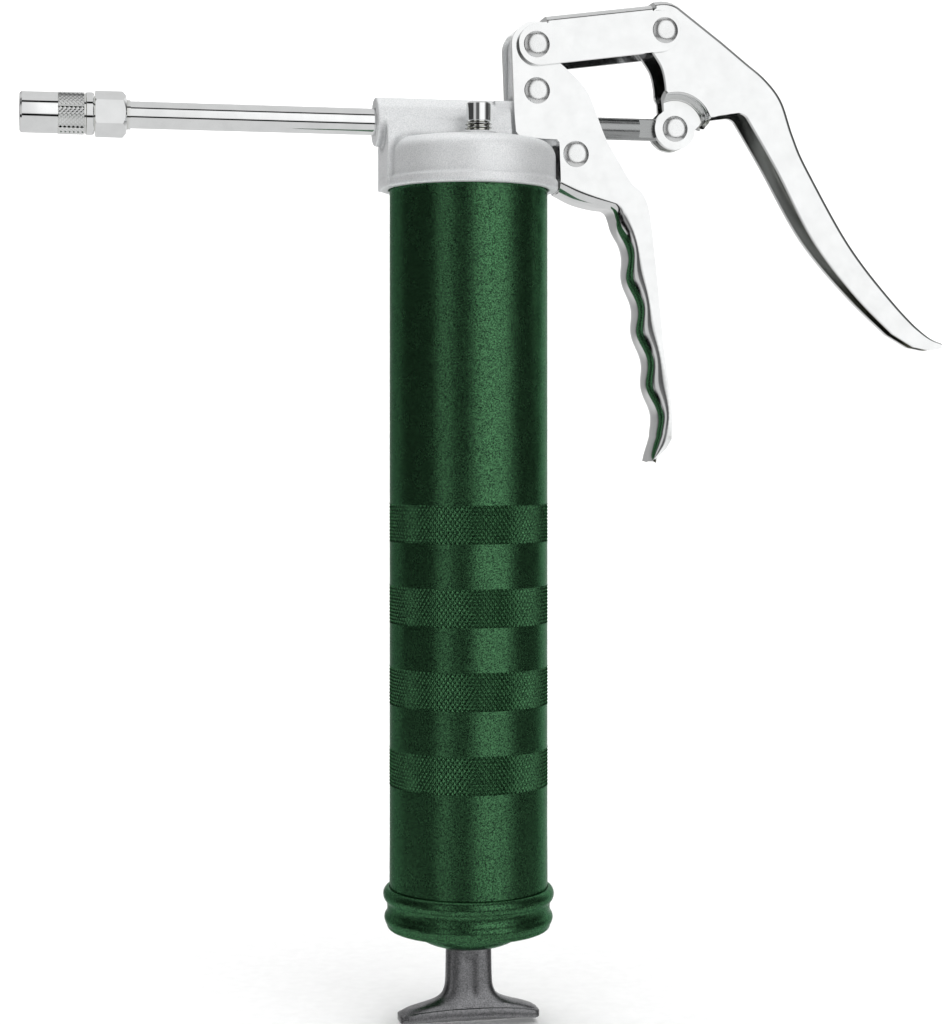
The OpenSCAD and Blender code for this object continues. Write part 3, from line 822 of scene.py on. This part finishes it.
def t_handle():
    """A cast handle: a flat-faced stem, flaring into a bar that droops at its ends."""
    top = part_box("t_handle")[1][2]
    rows = [handle_section(*section, top) for section in smooth(HANDLE_STEM, 4) + HANDLE_BAR]
    verts = [v for row in rows for v in row]
    faces = capped(skin(rows), len(rows), HANDLE_COLUMNS)
    make_object("pull_handle", verts, faces, "rod", SLOTS["pewter_cast"], ["t_handle"], 45)


# ---- CAD nodes that stay ----

def cast_head():
    """The casting's own edges are rounded by remeshing it finely and relaxing the surface."""
    node = NODES["pump_head"]
    remesh = node.modifiers.new("casting", "REMESH")
    remesh.mode = "VOXEL"
    remesh.voxel_size = 0.4 * MM
    remesh.use_smooth_shade = True
    relax = node.modifiers.new("fillets", "SMOOTH")
    relax.factor = 0.5
    relax.iterations = 5


def bevelled_nodes():
    """CAD nodes that only need their sharp edges broken, by a width in millimetres."""
    for name, width in (("coupler_body", 0.35), ("plunger", 0.25), ("packing_nut", 0.3)):
        soften(NODES[name], width * MM, 30, 3)


# ---- Stage, light and camera ----

FLOOR_GAP = 0.5 * MM
FLOOR_REACH = 9.0
WALL_BACK, WALL_TOP = 1.6, 2.6
COVE_RADIUS, COVE_STEPS = 0.8, 24


def stage():
    """A pale floor that curves up into a pale wall behind."""
    floor_z = CAD_BOX[0][2] - FLOOR_GAP
    cove = WALL_BACK - COVE_RADIUS
    path = [(-FLOOR_REACH, floor_z), (cove, floor_z)]
    for k in range(1, COVE_STEPS + 1):
        angle = math.pi / 2 * k / COVE_STEPS
        path.append((cove + COVE_RADIUS * math.sin(angle),
                     floor_z + COVE_RADIUS * (1 - math.cos(angle))))
    path.append((WALL_BACK, floor_z + WALL_TOP))
    verts = [(x, y, z) for y, z in path for x in (-FLOOR_REACH, FLOOR_REACH)]
    faces = [(2 * k, 2 * k + 1, 2 * k + 3, 2 * k + 2) for k in range(len(path) - 1)]
    mesh = bpy.data.meshes.new("backdrop")
    mesh.from_pydata(verts, [], faces)
    mesh.shade_smooth()
    backdrop = bpy.data.objects.new("backdrop", mesh)
    bpy.context.scene.collection.objects.link(backdrop)
    mesh.materials.append(floor_material())
    backdrop.visible_glossy = False


def math_node(tree, operation, a, b=None):
    """A math node on numbers or sockets."""
    node = tree.nodes.new("ShaderNodeMath")
    node.operation = operation
    for socket, value in zip(node.inputs, (a, b)):
        if value is None:
            continue
        if isinstance(value, (int, float)):
            socket.default_value = value
        else:
            link(tree, value, socket)
    return node.outputs[0]


def ramp(tree, value, stops):
    """Grey levels at places from 0 to 1, joined smoothly."""
    node = tree.nodes.new("ShaderNodeValToRGB")
    node.color_ramp.interpolation = "EASE"
    elements = node.color_ramp.elements
    while len(elements) < len(stops):
        elements.new(0.5)
    for element, (spot, level) in zip(elements, sorted(stops)):
        element.position = spot
        element.color = (level, level, level, 1)
    link(tree, value, node.inputs["Fac"])
    return node.outputs["Color"]


def bell(tree, value, centre, width):
    """1 at the centre, falling smoothly to 0 at a width to each side."""
    distance = math_node(tree, "ABSOLUTE", math_node(tree, "SUBTRACT", value, centre))
    node = tree.nodes.new("ShaderNodeMapRange")
    node.interpolation_type = "SMOOTHERSTEP"
    node.inputs["From Min"].default_value = width
    node.inputs["From Max"].default_value = 0.35 * width
    link(tree, distance, node.inputs["Value"])
    return node.outputs["Result"]


# Grey levels of the tent round the gun: degrees from the front, positive towards +X.
TENT_LEVELS = [(-180, 0.6), (-166, 0.36), (-136, 0.32), (-114, 0.05), (-62, 0.05), (-53, 0.55),
               (-38, 0.55), (-31, 0.12), (-10, 0.08), (1, 0.75), (9, 1.0), (42, 1.0), (54, 0.35),
               (66, 0.05), (104, 0.08), (128, 0.8), (180, 0.6)]
# Heights run from -1 straight down to 1 straight up.
TENT_MIDDLE, TENT_HALF = 0.18, 0.53
ABOVE_AND_BELOW = 0.62
SEAMS, SEAM_HALF = (0.6, -0.25), 0.1
TENT_STRENGTH = 1.12


def look_direction(tree):
    """Where a ray points: its turn round the gun from 0 to 1 with the front in the middle, its
    height from -1 to 1, and a level that is 1 in front and 0 behind.
    """
    direction = tree.nodes.new("ShaderNodeTexCoord")
    split = tree.nodes.new("ShaderNodeSeparateXYZ")
    link(tree, direction.outputs["Generated"], split.inputs[0])
    x, y, z = split.outputs
    turn = math_node(tree, "ARCTAN2", x, math_node(tree, "MULTIPLY", y, -1))
    around = math_node(tree, "ADD", math_node(tree, "DIVIDE", turn, 2 * math.pi), 0.5)
    height = math_node(tree, "DIVIDE", math_node(tree, "ARCSINE", z), math.pi / 2)
    in_front = ranged(tree, y, 0, 1, (0.1, -0.2))
    return around, height, in_front


def tent_level(tree):
    """Bands of light and shade round the middle, one even level above and below them, and thin
    dark seams across the front.
    """
    around, height, in_front = look_direction(tree)
    sides = ramp(tree, around, [((turn + 180) / 360, level) for turn, level in TENT_LEVELS])
    inside = bell(tree, height, TENT_MIDDLE, TENT_HALF)
    outside = math_node(tree, "SUBTRACT", 1, inside)
    level = math_node(tree, "ADD", math_node(tree, "MULTIPLY", sides, inside),
                      math_node(tree, "MULTIPLY", outside, ABOVE_AND_BELOW))
    for seam in SEAMS:
        flag = math_node(tree, "MULTIPLY", bell(tree, height, seam, SEAM_HALF), in_front)
        level = math_node(tree, "MULTIPLY", level, math_node(tree, "SUBTRACT", 1, flag))
    return level


def light_tent():
    """The world: what the metal mirrors, and most of the light."""
    world = bpy.data.worlds.new("studio")
    bpy.context.scene.world = world
    world.use_nodes = True
    tree = world.node_tree
    tree.nodes.clear()
    glow = tree.nodes.new("ShaderNodeBackground")
    link(tree, tent_level(tree), glow.inputs["Color"])
    glow.inputs["Strength"].default_value = TENT_STRENGTH
    out = tree.nodes.new("ShaderNodeOutputWorld")
    link(tree, glow.outputs[0], out.inputs["Surface"])


def area_light(name, location, tilt, size, power):
    """A large soft light that only lifts the shade; it doesn't show in the metal. It points down,
    or is tilted that many degrees towards +Y.
    """
    data = bpy.data.lights.new(name, "AREA")
    data.size = size
    data.energy = power
    lamp = bpy.data.objects.new(name, data)
    lamp.location = location
    lamp.rotation_euler = (math.radians(tilt), 0, 0)
    lamp.visible_glossy = False
    lamp.visible_camera = False
    bpy.context.scene.collection.objects.link(lamp)


def studio_light():
    """The tent, and three lamps for the floor, the wall and the gun's front."""
    light_tent()
    bpy.context.scene.view_settings.view_transform = "Standard"
    area_light("overhead", (0.2, -0.2, 1.9), 0, 2.6, 42)
    area_light("wall_wash", (0.2, 0.55, 0.9), 78, 2.4, 16)
    area_light("front_fill", (0.1, -1.5, 0.2), 80, 1.5, 5)


CAMERA_TURN = 11.5
CAMERA_DISTANCE = 0.777
CAMERA_HEIGHT = -0.111
CAMERA_LENS, SENSOR_WIDTH = 76.36, 36
CAMERA_SHIFT = (0.0034, -0.0752)


def camera():
    """Level, a little to the coupler's side, and below the pump; the shift frames the whole gun."""
    turn = math.radians(CAMERA_TURN)
    data = bpy.data.cameras.new("camera")
    data.lens = CAMERA_LENS
    data.sensor_width = SENSOR_WIDTH
    data.shift_x, data.shift_y = CAMERA_SHIFT
    seat = bpy.data.objects.new("camera", data)
    seat.location = (AXIS_X - CAMERA_DISTANCE * math.sin(turn),
                     -CAMERA_DISTANCE * math.cos(turn), CAMERA_HEIGHT)
    seat.rotation_euler = (math.pi / 2, 0, -turn)
    bpy.context.scene.collection.objects.link(seat)
    bpy.context.scene.camera = seat


camera()
stage()
studio_light()
dress_cad_nodes()
grip_frame()
pump_link()
lever()
rivets()
barrel()
barrel_cap()
extension_pipe()
coupler_sleeve()
bleeder()
t_handle()
cast_head()
bevelled_nodes()
